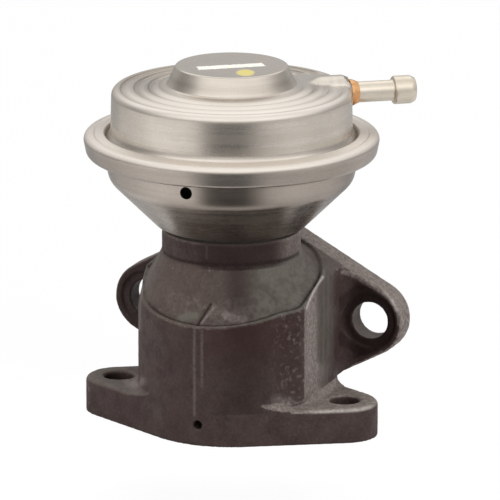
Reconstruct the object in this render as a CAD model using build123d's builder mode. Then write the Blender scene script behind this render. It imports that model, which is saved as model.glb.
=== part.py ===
from build123d import *
import os
from math import atan, cos, radians, sin

os.makedirs("parts", exist_ok=True)

# Millimetres. The origin is on the valve's axis at the underside of the base flange, +Z is up along
# the valve stem, +X runs along both flanges and +Y points out of the rear flange.

# Casting: base flange
base_thickness = 8.5
base_hole_spacing = 58.0
base_hole_radius = 3.5
base_lobe_spacing = 57.2
base_lobe_radius = 8.4
base_edge_round = 1.1
hole_chamfer = 0.6

# Casting: rear flange
rear_front_y = 17.4
rear_thickness = 6.4
rear_height = 23.4
rear_hole_spacing = 57.6
rear_hole_radius = 4.5
rear_lobe_spacing = 56.6
rear_lobe_radius = 8.8
rear_edge_round = 0.4
spot_radius = 6.7
spot_depth = 0.5

# Casting: column, sloping shoulder and collar
body_radius = 22.3
web_height = 36.0
web_bite = 0.6
shoulder_slope = 0.31
shoulder_height = 36.2
crease_radius = 21.2
crease_depth = 0.8
bridge_half_width = 10.0
bridge_depth = 6.0
lip_round = 0.5
collar_radius = 16.6
collar_rise = 0.328
collar_height = 5.3
wall_fillet = 4.0
foot_fillet = 2.4
pin_hole_radius = 1.15
pin_hole_height = 5.0
pin_hole_depth = 4.0

# Casting: gas passages
inlet_radius = 12.0
seat_shoulder_z = 13.0
throat_radius = 10.8
chamber_floor = 14.0
chamber_radius = 15.0
chamber_round = 9.0
chamber_floor_round = 1.5
port_radius = 9.0
roof_margin = 0.8

# Fits
fit_gap = 0.02
running_gap = 0.05
clamp_gap = 0.05

# Valve seat and pintle
seat_height = 5.0
seat_bore_radius = 8.4
seat_chamfer = 1.4
pintle_radius = 10.2
pintle_land_height = 1.6
pintle_nose_radius = 5.0
pintle_nose_drop = 3.6
pintle_sink = 0.02
pintle_shoulder_height = 2.4
pintle_boss_width = 1.2

# Stem, guide and seal
stem_radius = 3.5
stem_flange_radius = 6.0
stem_flange_thickness = 1.5
thread_radius = 2.5
thread_spare = 1.0
thread_chamfer = 0.5
guide_radius = 6.0
guide_drop = 4.7
pocket_depth = 4.4
bush_chamfer = 0.6
deflector_radius = 9.0
deflector_thickness = 0.9
deflector_drop = 1.6
deflector_lift = 2.2
deflector_gap = 0.1
pocket_radius = 10.0
seal_radius = 8.2
seal_height = 2.2
retainer_wall = 0.8
retainer_hole_radius = 5.0
retainer_round = 0.5

# Diaphragm housings
gasket_thickness = 0.8
gasket_inset = 0.6
bowl_wall = 1.3
bowl_hole_radius = 7.0
bowl_foot_radius = 17.7
bowl_depth = 11.8
bowl_side_height = 5.3
bowl_side_margin = 0.7
bowl_foot_round = 1.6
bowl_shoulder_round = 5.0
bowl_flange_round = 1.4
vent_radius = 1.5
vent_rise = 2.7
rim_width = 4.9
rim_flare = 1.1
rim_lip_gap = 1.3
rim_round = 1.6
can_wall = 1.3
can_foot_radius = 28.9
can_taper = 0.3
can_rise = 10.85
shelf_width = 4.8
step_width = 0.8
step_rise = 0.3
inner_shelf_rise = 0.15
cap_foot_radius = 15.9
cap_radius = 13.3
cap_rise = 5.15
can_flange_round = 1.2
can_edge_round = 1.9
step_round = 0.5
cap_foot_round = 1.6
cap_edge_round = 0.6
rim_clearance = 0.25

# Diaphragm and its plates
rubber_thickness = 1.4
hub_drop = 4.4
roll_width = 3.5
roll_clearance = 3.3
roll_round = 2.2
plate_wall = 1.2
plate_step = 1.5
lower_plate_skirt = 2.6
plate_flare = 0.5
upper_plate_skirt = 4.0
plate_round = 1.6
washer_radius = 5.0
washer_thickness = 0.8
nut_across_flats = 8.0
nut_height = 4.0

# Return spring
wire_radius = 0.85
wire_sides = 8
end_turn_radius = 0.9
coil_radius = 10.2
active_turns = 4.5

# Screws that hold the bowl
clamp_thickness = 1.5
clamp_radius = 16.3
clamp_hole_radius = 8.0
screw_count = 3
screw_circle_radius = 13.2
screw_radius = 2.0
screw_depth = 7.5
screw_head_radius = 3.4
screw_head_height = 2.2
screw_hex_width = 2.5
screw_hex_depth = 1.2

# Vacuum nipple
nipple_angle = 35.0
nipple_drop = 2.75
nipple_inner_length = 4.8
nipple_neck_length = 10.8
nipple_radius = 2.5
nipple_bore_radius = 1.4
barb_radius = 3.4
barb_chamfer = 0.3
barb_length = 4.2
barb_tip_length = 1.2
nipple_tip_radius = 2.8
blister_radius = 4.4
blister_length = 6.3
blister_reach = 0.2
braze_length = 2.2
braze_crown = 0.55
braze_middle = 1.3
braze_radius = 3.2
braze_middle_radius = 3.05
braze_tip_radius = 2.65

# Heights and places that follow from the sizes above
rear_back_y = rear_front_y + rear_thickness
slope_angle = atan(shoulder_slope)
slope_normal = (0, -sin(slope_angle), cos(slope_angle))
lip_plane = Plane(origin=(0, 0, shoulder_height), x_dir=(1, 0, 0), z_dir=slope_normal)
crease_plane = lip_plane.offset(-crease_depth)
web_bottom = base_thickness - base_edge_round
chamber_top = rear_height + port_radius + roof_margin
collar_foot = shoulder_height + shoulder_slope * crease_radius + collar_rise
collar_top = collar_foot + collar_height
guide_top = collar_top - pocket_depth
guide_bottom = chamber_top - guide_drop
seat_top = seat_shoulder_z
seat_bottom = seat_top - seat_height
gasket_top = collar_top + gasket_thickness
bowl_floor = gasket_top + bowl_wall
bowl_shoulder_z = gasket_top + bowl_depth
bowl_shoulder_radius = can_foot_radius + bowl_side_margin
vent_z = bowl_shoulder_z + vent_rise
clamp_top = bowl_floor + clamp_thickness
rim_bottom = bowl_shoulder_z + bowl_side_height
rim_bottom_radius = bowl_shoulder_radius + rim_width
rim_radius = rim_bottom_radius + rim_flare
rim_inner_radius = can_foot_radius + rim_lip_gap
rubber_bottom = rim_bottom + bowl_wall
rubber_top = rubber_bottom + rubber_thickness
can_flange_top = rubber_top + can_wall
rim_top = can_flange_top + bowl_wall
can_top_radius = can_foot_radius - can_taper
can_shelf = rim_top + can_rise
step_outer_radius = can_top_radius - shelf_width
step_inner_radius = step_outer_radius - step_width
inner_shelf = can_shelf + step_rise
cap_foot = inner_shelf + inner_shelf_rise
cap_top = cap_foot + cap_rise
hub_z = rim_bottom - hub_drop
roll_outer_radius = bowl_shoulder_radius - bowl_wall
roll_inner_radius = roll_outer_radius - roll_width
upper_plate_radius = roll_inner_radius - roll_clearance
lower_plate_radius = upper_plate_radius - plate_step
lower_plate_top = hub_z - rubber_thickness / 2 - clamp_gap
lower_plate_bottom = lower_plate_top - plate_wall
upper_plate_bottom = hub_z + rubber_thickness / 2 + clamp_gap
upper_plate_floor = upper_plate_bottom + plate_wall
nut_bottom = upper_plate_floor + washer_thickness
stem_top = nut_bottom + nut_height + thread_spare
spring_bottom = upper_plate_floor + clamp_gap
spring_top = cap_top - can_wall - clamp_gap
screw_tip = collar_top - screw_depth
cone_bottom = seat_top - seat_chamfer + pintle_sink
cone_bottom_radius = seat_bore_radius - running_gap
cone_top = cone_bottom + pintle_radius - cone_bottom_radius
pintle_land_top = cone_top + pintle_land_height
pintle_top = pintle_land_top + pintle_shoulder_height
deflector_z = guide_bottom + deflector_lift
rubber_radius = rim_bottom_radius - bowl_wall - rim_clearance
can_flange_radius = rubber_radius
nipple_z = can_shelf - nipple_drop
blister_end = can_top_radius + blister_reach
blister_start = blister_end - blister_length
nipple_inner_end = blister_end - nipple_inner_length
barb_start = blister_end + nipple_neck_length
barb_end = barb_start + barb_length
nipple_tip = barb_end + barb_tip_length
nipple_plane = Plane(
    origin=(0, 0, nipple_z),
    x_dir=(-sin(radians(nipple_angle)), cos(radians(nipple_angle)), 0),
    z_dir=(cos(radians(nipple_angle)), sin(radians(nipple_angle)), 0),
)
nipple_section_plane = Plane(
    origin=(0, 0, nipple_z),
    x_dir=(cos(radians(nipple_angle)), sin(radians(nipple_angle)), 0),
    z_dir=(sin(radians(nipple_angle)), -cos(radians(nipple_angle)), 0),
)


def two_lobe_outline(centre_radius, lobe_radius, spacing):
    """Outline of a two-bolt flange: a round middle and a round lobe at each bolt, joined by tangents."""
    Circle(centre_radius)
    with Locations((-spacing / 2, 0), (spacing / 2, 0)):
        Circle(lobe_radius)
    make_hull()


def corner_fillet_section(wall_x, floor_y, radius):
    """Section of the metal that fills the corner between a wall at wall_x and a floor at floor_y."""
    arc_middle = radius * (1 - cos(radians(45)))
    with BuildLine() as section:
        Line((wall_x - radius, floor_y - radius), (wall_x + radius, floor_y - radius))
        Line((wall_x + radius, floor_y - radius), (wall_x + radius, floor_y))
        ThreePointArc(
            (wall_x + radius, floor_y),
            (wall_x + arc_middle, floor_y + arc_middle),
            (wall_x, floor_y + radius),
        )
        Line((wall_x, floor_y + radius), (wall_x - radius, floor_y + radius))
        Line((wall_x - radius, floor_y + radius), (wall_x - radius, floor_y - radius))
    make_face(section.edges())


def sheet_section(points, radii, wall):
    """Section of a pressing: one skin as points with bend radii, the other skin a wall to its left.

    A negative wall puts the other skin on the right."""
    corners = [Vector(*point) for point in points]
    runs = [(end - start).normalized() for start, end in zip(corners[:-1], corners[1:])]
    lefts = [Vector(-run.Y, run.X) for run in runs]
    lining_corners = [corners[0] + lefts[0] * wall]
    lining_radii = []
    for place, radius in enumerate(radii):
        before = lefts[place]
        after = lefts[place + 1]
        lining_corners.append(corners[place + 1] + (before + after) * (wall / (1 + before.dot(after))))
        turns_left = runs[place].cross(runs[place + 1]).Z > 0
        lining_radii.append(max(radius - wall if turns_left else radius + wall, 0))
    lining_corners.append(corners[-1] + lefts[-1] * wall)
    with BuildLine() as section:
        skin = FilletPolyline(*corners, radius=radii)
        lining = FilletPolyline(*lining_corners, radius=lining_radii)
        Line(skin @ 0, lining @ 0)
        Line(skin @ 1, lining @ 1)
    make_face(section.edges())


# Flange blanks of the casting, each with its outer edge rounded on the side away from its joint face.
with BuildPart() as base_blank:
    with BuildSketch():
        two_lobe_outline(body_radius, base_lobe_radius, base_lobe_spacing)
    extrude(amount=base_thickness)
    fillet(faces().sort_by(Axis.Z)[-1].edges(), radius=base_edge_round)
    with GridLocations(base_hole_spacing, 0, 2, 1):
        Hole(radius=base_hole_radius)
    top_circles = edges().group_by(Axis.Z)[-1].filter_by(GeomType.CIRCLE)
    chamfer(top_circles.filter_by(lambda edge: edge.radius < base_hole_radius + hole_chamfer), length=hole_chamfer)

with BuildPart() as rear_blank:
    with BuildSketch(Plane.XZ.offset(-rear_back_y)):
        with Locations((0, rear_height)):
            two_lobe_outline(body_radius, rear_lobe_radius, rear_lobe_spacing)
    extrude(amount=rear_thickness)
    fillet(faces().sort_by(Axis.Y)[0].edges(), radius=rear_edge_round)

# Web between the column and the rear flange, cut to the rear flange's outline, and its foot, cut to the
# base flange's, so that a notch is left between the two flanges on each side. Outside the column the web
# is as high as the flange, and inside it stops below the shoulder.
with BuildPart() as web_blank:
    with BuildSketch(Plane.XY.offset(web_bottom)):
        with Locations((0, rear_front_y / 2)):
            Rectangle(2 * body_radius, rear_front_y)
    extrude(amount=rear_height + body_radius - web_bottom)
    with BuildSketch(Plane.XY.offset(web_height)):
        Circle(body_radius - web_bite)
    extrude(amount=2 * body_radius, mode=Mode.SUBTRACT)
    with BuildSketch(Plane.XZ.offset(-rear_front_y)):
        with Locations((0, rear_height)):
            two_lobe_outline(body_radius, rear_lobe_radius, rear_lobe_spacing)
    extrude(amount=rear_front_y, mode=Mode.INTERSECT)

with BuildPart() as web_foot:
    with BuildSketch(Plane.XY.offset(web_bottom)):
        with Locations((0, rear_front_y / 2)):
            Rectangle(2 * body_radius, rear_front_y)
    extrude(amount=web_height - web_bottom)
    with BuildSketch():
        two_lobe_outline(body_radius, base_lobe_radius, base_lobe_spacing)
    extrude(amount=web_height, mode=Mode.INTERSECT)

# Cast fillets: round the column's foot inside the base outline, and down the web inside the rear outline.
with BuildPart() as foot_corner:
    with BuildSketch(Plane.XZ):
        corner_fillet_section(body_radius, base_thickness, foot_fillet)
    revolve(axis=Axis.Z)
    with BuildSketch(Plane.XZ):
        corner_fillet_section(body_radius, base_thickness, foot_fillet)
        mirror(about=Plane.YZ)
    extrude(amount=-rear_front_y)
    with BuildSketch():
        two_lobe_outline(body_radius, base_lobe_radius, base_lobe_spacing)
    extrude(amount=base_thickness + foot_fillet, mode=Mode.INTERSECT)

with BuildPart() as web_corner:
    with BuildSketch(Plane.XY):
        with BuildSketch(mode=Mode.PRIVATE) as one_side:
            corner_fillet_section(body_radius, -rear_front_y, wall_fillet)
        add(mirror(one_side.sketch, about=Plane.XZ))
        add(mirror(mirror(one_side.sketch, about=Plane.XZ), about=Plane.YZ))
    extrude(amount=rear_height + body_radius)
    with BuildSketch(Plane.XZ.offset(-rear_back_y)):
        with Locations((0, rear_height)):
            two_lobe_outline(body_radius, rear_lobe_radius - rear_edge_round, rear_lobe_spacing)
    extrude(amount=rear_back_y, mode=Mode.INTERSECT)

# Casting, poured in one piece. A round column, whose top slopes up towards the rear flange inside a
# narrow raised lip, stands on the base flange, and a straight-sided web joins it to the rear flange.
with BuildPart() as valve_body:
    with BuildSketch():
        Circle(body_radius)
    extrude(amount=cap_top)
    split(bisect_by=lip_plane, keep=Keep.BOTTOM)
    fillet(edges().filter_by(GeomType.ELLIPSE), radius=lip_round)
    with BuildSketch(crease_plane):
        Ellipse(crease_radius, crease_radius / cos(slope_angle))
    extrude(amount=2 * crease_depth, mode=Mode.SUBTRACT)
    add(web_blank.part)
    add(web_foot.part)
    add(base_blank.part)
    add(rear_blank.part)
    add(foot_corner.part)
    add(web_corner.part)
    with BuildSketch(crease_plane):
        Ellipse(crease_radius, crease_radius / cos(slope_angle))
    with BuildSketch(Plane.XY.offset(collar_foot)):
        Circle(collar_radius)
    loft(ruled=True)
    with BuildSketch(Plane.XY.offset(collar_foot)):
        Circle(collar_radius)
    extrude(amount=collar_top - collar_foot)
    # Metal behind the collar, level with the edge of the rear flange.
    with BuildSketch(Plane.XZ.offset(-rear_front_y)):
        with Locations((0, rear_height)):
            Circle(body_radius)
            with Locations((0, body_radius)):
                Rectangle(2 * bridge_half_width, body_radius, mode=Mode.INTERSECT)
    extrude(amount=bridge_depth)
    # Facing cut that leaves the gasket's seat as the highest metal under the bowl.
    with BuildSketch(Plane.XY.offset(collar_top)):
        Circle(bowl_foot_radius + gasket_inset)
    extrude(amount=body_radius, mode=Mode.SUBTRACT)
    # Gas passage: inlet from below, throat, chamber with a rounded roof, and outlet to the rear.
    Cylinder(
        inlet_radius, seat_shoulder_z, align=(Align.CENTER, Align.CENTER, Align.MIN), mode=Mode.SUBTRACT
    )
    with BuildSketch(Plane.XY.offset(seat_shoulder_z)):
        Circle(throat_radius)
    extrude(amount=chamber_floor - seat_shoulder_z, mode=Mode.SUBTRACT)
    with BuildSketch(Plane.XZ):
        with BuildLine():
            FilletPolyline(
                (0, chamber_floor),
                (chamber_radius, chamber_floor),
                (chamber_radius, chamber_top),
                (0, chamber_top),
                radius=[chamber_floor_round, chamber_round],
            )
            Line((0, chamber_top), (0, chamber_floor))
        make_face()
    revolve(axis=Axis.Z, mode=Mode.SUBTRACT)
    with BuildSketch(Plane.XZ):
        with Locations((0, rear_height)):
            Circle(port_radius)
    extrude(amount=-rear_back_y, mode=Mode.SUBTRACT)
    # Guide bore, seal pocket and the blind holes for the bowl's screws.
    with BuildSketch(Plane.XY.offset(rear_height)):
        Circle(guide_radius + fit_gap)
    extrude(amount=guide_top - rear_height, mode=Mode.SUBTRACT)
    with BuildSketch(Plane.XY.offset(guide_top)):
        Circle(pocket_radius)
    extrude(amount=collar_top - guide_top, mode=Mode.SUBTRACT)
    with BuildSketch(Plane.XY.offset(screw_tip)):
        with PolarLocations(screw_circle_radius, screw_count):
            Circle(screw_radius + fit_gap)
    extrude(amount=screw_depth, mode=Mode.SUBTRACT)
    # Bolt holes, with a chamfered mouth on the base and a spot face on the rear flange.
    with BuildSketch(Plane.XZ.offset(-rear_back_y)):
        with Locations((-rear_hole_spacing / 2, rear_height), (rear_hole_spacing / 2, rear_height)):
            Circle(rear_hole_radius)
    extrude(amount=rear_thickness, mode=Mode.SUBTRACT)
    with BuildSketch(Plane.XZ.offset(-rear_front_y - spot_depth)):
        with Locations((-rear_hole_spacing / 2, rear_height), (rear_hole_spacing / 2, rear_height)):
            Circle(spot_radius)
    extrude(amount=wall_fillet + spot_depth, mode=Mode.SUBTRACT)
    # Small drilled pin hole low on the front.
    with BuildSketch(Plane.XZ.offset(body_radius)):
        with Locations((0, pin_hole_height)):
            Circle(pin_hole_radius)
    extrude(amount=-pin_hole_depth, mode=Mode.SUBTRACT)
valve_body.part.label = "valve_body"
export_step(valve_body.part, "parts/valve_body.step")

# Seat ring, pressed up from the inlet against the throat's shoulder, with its chamfer on top.
with BuildPart() as valve_seat:
    with BuildSketch(Plane.XY.offset(seat_bottom)):
        Circle(inlet_radius - fit_gap)
        Circle(seat_bore_radius, mode=Mode.SUBTRACT)
    extrude(amount=seat_height)
    chamfer(edges().group_by(Axis.Z)[-1].sort_by(SortBy.RADIUS)[0], length=seat_chamfer)
valve_seat.part.label = "valve_seat"
export_step(valve_seat.part, "parts/valve_seat.step")

# Pintle: its cone closes on the seat's chamfer with the running gap between them.
with BuildPart() as pintle:
    with BuildSketch(Plane.XZ):
        with BuildLine():
            Polyline(
                (stem_radius + fit_gap, cone_bottom - pintle_nose_drop),
                (pintle_nose_radius, cone_bottom - pintle_nose_drop),
                (cone_bottom_radius, cone_bottom),
                (pintle_radius, cone_top),
                (pintle_radius, pintle_land_top),
                (stem_radius + pintle_boss_width, pintle_top),
                (stem_radius + fit_gap, pintle_top),
                (stem_radius + fit_gap, cone_bottom - pintle_nose_drop),
            )
        make_face()
    revolve(axis=Axis.Z)
pintle.part.label = "pintle"
export_step(pintle.part, "parts/pintle.step")

# Stem, with a flange that carries the diaphragm's plates and a threaded end above it.
with BuildPart() as valve_stem:
    with BuildSketch(Plane.XY.offset(cone_bottom - pintle_nose_drop)):
        Circle(stem_radius)
    extrude(amount=lower_plate_bottom - (cone_bottom - pintle_nose_drop))
    with BuildSketch(Plane.XY.offset(lower_plate_bottom - stem_flange_thickness)):
        Circle(stem_flange_radius)
    extrude(amount=stem_flange_thickness)
    with BuildSketch(Plane.XY.offset(lower_plate_bottom)):
        Circle(thread_radius)
    extrude(amount=stem_top - lower_plate_bottom)
    chamfer(edges().sort_by(Axis.Z)[-1], length=thread_chamfer)
valve_stem.part.label = "valve_stem"
export_step(valve_stem.part, "parts/valve_stem.step")

# Guide bush, pressed into the casting, with a shoulder at the bottom of the seal pocket.
with BuildPart() as guide_bush:
    with BuildSketch(Plane.XY.offset(guide_bottom)):
        Circle(guide_radius)
        Circle(stem_radius + running_gap, mode=Mode.SUBTRACT)
    extrude(amount=guide_top - guide_bottom)
    chamfer(edges().group_by(Axis.Z)[0].sort_by(SortBy.RADIUS)[-1], length=bush_chamfer)
guide_bush.part.label = "guide_bush"
export_step(guide_bush.part, "parts/guide_bush.step")

# Deflector dish on the bush's lower end, which keeps soot off the guide.
with BuildPart() as gas_deflector:
    with BuildSketch(Plane.XZ):
        sheet_section(
            [
                (guide_radius + fit_gap, chamber_top - deflector_gap),
                (guide_radius + fit_gap, deflector_z),
                (deflector_radius, deflector_z - deflector_drop),
            ],
            [deflector_thickness / 2],
            deflector_thickness,
        )
    revolve(axis=Axis.Z)
gas_deflector.part.label = "gas_deflector"
export_step(gas_deflector.part, "parts/gas_deflector.step")

# Stem seal and the cap that holds it down in its pocket.
with BuildPart() as stem_seal:
    with BuildSketch(Plane.XY.offset(guide_top)):
        Circle(seal_radius)
        Circle(stem_radius + running_gap, mode=Mode.SUBTRACT)
    extrude(amount=seal_height)
stem_seal.part.label = "stem_seal"
export_step(stem_seal.part, "parts/stem_seal.step")

with BuildPart() as seal_retainer:
    with BuildSketch(Plane.XY.offset(guide_top)):
        Circle(pocket_radius - fit_gap)
    extrude(amount=seal_height + retainer_wall)
    with BuildSketch(Plane.XY.offset(guide_top)):
        Circle(pocket_radius - fit_gap - retainer_wall)
    extrude(amount=seal_height, mode=Mode.SUBTRACT)
    with BuildSketch(Plane.XY.offset(guide_top)):
        Circle(retainer_hole_radius)
    extrude(amount=seal_height + retainer_wall, mode=Mode.SUBTRACT)
    fillet(edges().group_by(Axis.Z)[-1].sort_by(SortBy.RADIUS)[-1], radius=retainer_round)
seal_retainer.part.label = "seal_retainer"
export_step(seal_retainer.part, "parts/seal_retainer.step")

# Gasket between casting and bowl.
with BuildPart() as housing_gasket:
    with BuildSketch(Plane.XY.offset(collar_top)):
        Circle(collar_radius - gasket_inset)
        Circle(pocket_radius, mode=Mode.SUBTRACT)
        with PolarLocations(screw_circle_radius, screw_count):
            Circle(screw_radius + fit_gap, mode=Mode.SUBTRACT)
    extrude(amount=gasket_thickness)
housing_gasket.part.label = "housing_gasket"
export_step(housing_gasket.part, "parts/housing_gasket.step")

# Lower housing: a drawn bowl whose edge is rolled up and over the diaphragm and the upper housing.
with BuildPart() as lower_housing:
    with BuildSketch(Plane.XZ):
        sheet_section(
            [
                (bowl_hole_radius, gasket_top),
                (bowl_foot_radius, gasket_top),
                (bowl_shoulder_radius, bowl_shoulder_z),
                (bowl_shoulder_radius, rim_bottom),
                (rim_bottom_radius, rim_bottom),
                (rim_radius, rim_top),
                (rim_inner_radius, rim_top),
            ],
            [bowl_foot_round, bowl_shoulder_round, bowl_flange_round, rim_round, rim_round],
            bowl_wall,
        )
    revolve(axis=Axis.Z)
    with BuildSketch(Plane.XZ):
        with Locations((0, vent_z)):
            Circle(vent_radius)
    extrude(amount=rim_radius, mode=Mode.SUBTRACT)
    with BuildSketch(Plane.XY.offset(gasket_top)):
        with PolarLocations(screw_circle_radius, screw_count):
            Circle(screw_radius + fit_gap)
    extrude(amount=bowl_wall, mode=Mode.SUBTRACT)
lower_housing.part.label = "lower_housing"
export_step(lower_housing.part, "parts/lower_housing.step")

# Ring under the screw heads, inside the bowl.
with BuildPart() as clamp_plate:
    with BuildSketch(Plane.XY.offset(bowl_floor)):
        Circle(clamp_radius)
        Circle(clamp_hole_radius, mode=Mode.SUBTRACT)
        with PolarLocations(screw_circle_radius, screw_count):
            Circle(screw_radius + fit_gap, mode=Mode.SUBTRACT)
    extrude(amount=clamp_thickness)
clamp_plate.part.label = "clamp_plate"
export_step(clamp_plate.part, "parts/clamp_plate.step")

with BuildPart() as housing_screws:
    with BuildSketch(Plane.XY.offset(screw_tip)):
        with PolarLocations(screw_circle_radius, screw_count):
            Circle(screw_radius)
    extrude(amount=clamp_top - screw_tip)
    with BuildSketch(Plane.XY.offset(clamp_top)):
        with PolarLocations(screw_circle_radius, screw_count):
            Circle(screw_head_radius)
    extrude(amount=screw_head_height)
    with BuildSketch(Plane.XY.offset(clamp_top + screw_head_height - screw_hex_depth)):
        with PolarLocations(screw_circle_radius, screw_count):
            RegularPolygon(radius=screw_hex_width / 2, side_count=6, major_radius=False)
    extrude(amount=screw_hex_depth, mode=Mode.SUBTRACT)
housing_screws.part.label = "housing_screws"
export_step(housing_screws.part, "parts/housing_screws.step")

# Diaphragm, clamped at the rim and at its hub, with a rolled fold between.
with BuildPart() as diaphragm:
    with BuildSketch(Plane.XZ):
        sheet_section(
            [
                (rubber_radius, rubber_bottom),
                (roll_outer_radius, rubber_bottom),
                (roll_inner_radius, hub_z - rubber_thickness / 2),
                (thread_radius + clamp_gap, hub_z - rubber_thickness / 2),
            ],
            [roll_round, roll_round],
            -rubber_thickness,
        )
    revolve(axis=Axis.Z)
diaphragm.part.label = "diaphragm"
export_step(diaphragm.part, "parts/diaphragm.step")

# Plates that grip the diaphragm's hub. The upper one is also the spring's seat.
with BuildPart() as lower_plate:
    with BuildSketch(Plane.XZ):
        sheet_section(
            [
                (thread_radius + fit_gap, lower_plate_top),
                (lower_plate_radius, lower_plate_top),
                (lower_plate_radius + plate_flare, lower_plate_top - lower_plate_skirt),
            ],
            [plate_round],
            -plate_wall,
        )
    revolve(axis=Axis.Z)
lower_plate.part.label = "lower_plate"
export_step(lower_plate.part, "parts/lower_plate.step")

with BuildPart() as upper_plate:
    with BuildSketch(Plane.XZ):
        sheet_section(
            [
                (thread_radius + fit_gap, upper_plate_bottom),
                (upper_plate_radius, upper_plate_bottom),
                (upper_plate_radius + plate_flare, upper_plate_bottom + upper_plate_skirt),
            ],
            [plate_round],
            plate_wall,
        )
    revolve(axis=Axis.Z)
upper_plate.part.label = "upper_plate"
export_step(upper_plate.part, "parts/upper_plate.step")

with BuildPart() as stem_washer:
    with BuildSketch(Plane.XY.offset(upper_plate_floor)):
        Circle(washer_radius)
        Circle(thread_radius + fit_gap, mode=Mode.SUBTRACT)
    extrude(amount=washer_thickness)
stem_washer.part.label = "stem_washer"
export_step(stem_washer.part, "parts/stem_washer.step")

with BuildPart() as stem_nut:
    with BuildSketch(Plane.XY.offset(nut_bottom)):
        RegularPolygon(radius=nut_across_flats / 2, side_count=6, major_radius=False)
        Circle(thread_radius + fit_gap, mode=Mode.SUBTRACT)
    extrude(amount=nut_height)
stem_nut.part.label = "stem_nut"
export_step(stem_nut.part, "parts/stem_nut.step")

# Return spring: open coils, of wire with eight flats, between two closed end turns.
coil_rise = spring_top - spring_bottom - 2 * end_turn_radius
with BuildPart() as return_spring:
    with BuildLine():
        Helix(
            pitch=coil_rise / active_turns,
            height=coil_rise,
            radius=coil_radius,
            center=(0, 0, spring_bottom + end_turn_radius),
        )
    with BuildSketch(Plane(origin=(coil_radius, 0, spring_bottom + end_turn_radius), z_dir=(0, 1, 0))):
        RegularPolygon(radius=wire_radius, side_count=wire_sides)
    sweep(is_frenet=True)
    with Locations((0, 0, spring_bottom + end_turn_radius), (0, 0, spring_top - end_turn_radius)):
        Torus(coil_radius, end_turn_radius)
return_spring.part.label = "return_spring"
export_step(return_spring.part, "parts/return_spring.step")

# Upper housing: a drawn can in steps, with a tunnel pressed out of its shoulder for the nipple.
with BuildPart() as upper_housing:
    with BuildSketch(Plane.XZ):
        sheet_section(
            [
                (0, cap_top),
                (cap_radius, cap_top),
                (cap_foot_radius, cap_foot),
                (step_inner_radius, inner_shelf),
                (step_outer_radius, can_shelf),
                (can_top_radius, can_shelf),
                (can_foot_radius, can_flange_top),
                (can_flange_radius, can_flange_top),
            ],
            [cap_edge_round, cap_foot_round, step_round, step_round, can_edge_round, can_flange_round],
            -can_wall,
        )
    revolve(axis=Axis.Z)
    with BuildSketch(nipple_plane.offset(blister_start)):
        Circle(blister_radius)
    extrude(amount=blister_end - blister_start)
    with Locations(nipple_plane.offset(blister_start)):
        Sphere(blister_radius)
    with BuildSketch(Plane.XY.offset(can_flange_top)):
        Circle(can_top_radius - can_wall)
    extrude(amount=can_shelf - can_wall - can_flange_top, mode=Mode.SUBTRACT)
    with BuildSketch(nipple_plane.offset(blister_start)):
        Circle(blister_radius - can_wall)
    extrude(amount=blister_end - can_wall - blister_start, mode=Mode.SUBTRACT)
    with Locations(nipple_plane.offset(blister_start)):
        Sphere(blister_radius - can_wall, mode=Mode.SUBTRACT)
    with BuildSketch(nipple_plane.offset(blister_start)):
        Circle(nipple_radius + fit_gap)
    extrude(amount=blister_end - blister_start, mode=Mode.SUBTRACT)
upper_housing.part.label = "upper_housing"
export_step(upper_housing.part, "parts/upper_housing.step")

# Vacuum nipple, brazed into the tunnel, with a barb for the hose.
with BuildPart() as vacuum_nipple:
    with BuildSketch(nipple_section_plane):
        with BuildLine():
            Polyline(
                (nipple_inner_end, nipple_bore_radius),
                (nipple_tip, nipple_bore_radius),
                (nipple_tip, nipple_tip_radius),
                (barb_end, barb_radius),
                (barb_start + barb_chamfer, barb_radius),
                (barb_start, barb_radius - barb_chamfer),
                (barb_start, nipple_radius),
                (nipple_inner_end, nipple_radius),
                (nipple_inner_end, nipple_bore_radius),
            )
        make_face()
    revolve(axis=Axis((0, 0, nipple_z), nipple_plane.z_dir))
vacuum_nipple.part.label = "vacuum_nipple"
export_step(vacuum_nipple.part, "parts/vacuum_nipple.step")

with BuildPart() as braze_ring:
    with BuildSketch(nipple_section_plane):
        with BuildLine():
            Polyline(
                (blister_end, nipple_radius + fit_gap),
                (blister_end + braze_length, nipple_radius + fit_gap),
                (blister_end + braze_length, braze_tip_radius),
                (blister_end + braze_middle, braze_middle_radius),
                (blister_end + braze_crown, braze_radius),
                (blister_end, braze_radius),
                (blister_end, nipple_radius + fit_gap),
            )
        make_face()
    revolve(axis=Axis((0, 0, nipple_z), nipple_plane.z_dir))
braze_ring.part.label = "braze_ring"
export_step(braze_ring.part, "parts/braze_ring.step")
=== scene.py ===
import bpy
import bmesh
import numpy as np
from math import atan2, cos, pi, radians, sin, sqrt, tan
from mathutils import Matrix, Vector, noise


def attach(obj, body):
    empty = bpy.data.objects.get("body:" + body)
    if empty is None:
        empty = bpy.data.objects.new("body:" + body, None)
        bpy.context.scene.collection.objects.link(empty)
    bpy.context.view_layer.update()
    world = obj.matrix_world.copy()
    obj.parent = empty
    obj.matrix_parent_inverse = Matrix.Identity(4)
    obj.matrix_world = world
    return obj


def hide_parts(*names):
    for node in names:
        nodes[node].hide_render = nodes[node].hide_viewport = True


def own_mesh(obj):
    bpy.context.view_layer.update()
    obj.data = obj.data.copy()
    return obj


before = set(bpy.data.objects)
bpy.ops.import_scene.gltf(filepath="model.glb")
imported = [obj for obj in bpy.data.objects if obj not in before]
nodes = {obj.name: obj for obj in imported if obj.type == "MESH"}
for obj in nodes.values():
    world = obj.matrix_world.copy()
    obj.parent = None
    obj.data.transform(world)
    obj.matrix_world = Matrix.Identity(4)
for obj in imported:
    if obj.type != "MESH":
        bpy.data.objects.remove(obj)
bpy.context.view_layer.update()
mm = 0.001
cameraSide, cameraUp = 21.1, 14.8  # where the camera stands, in degrees round the valve and above it


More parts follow.
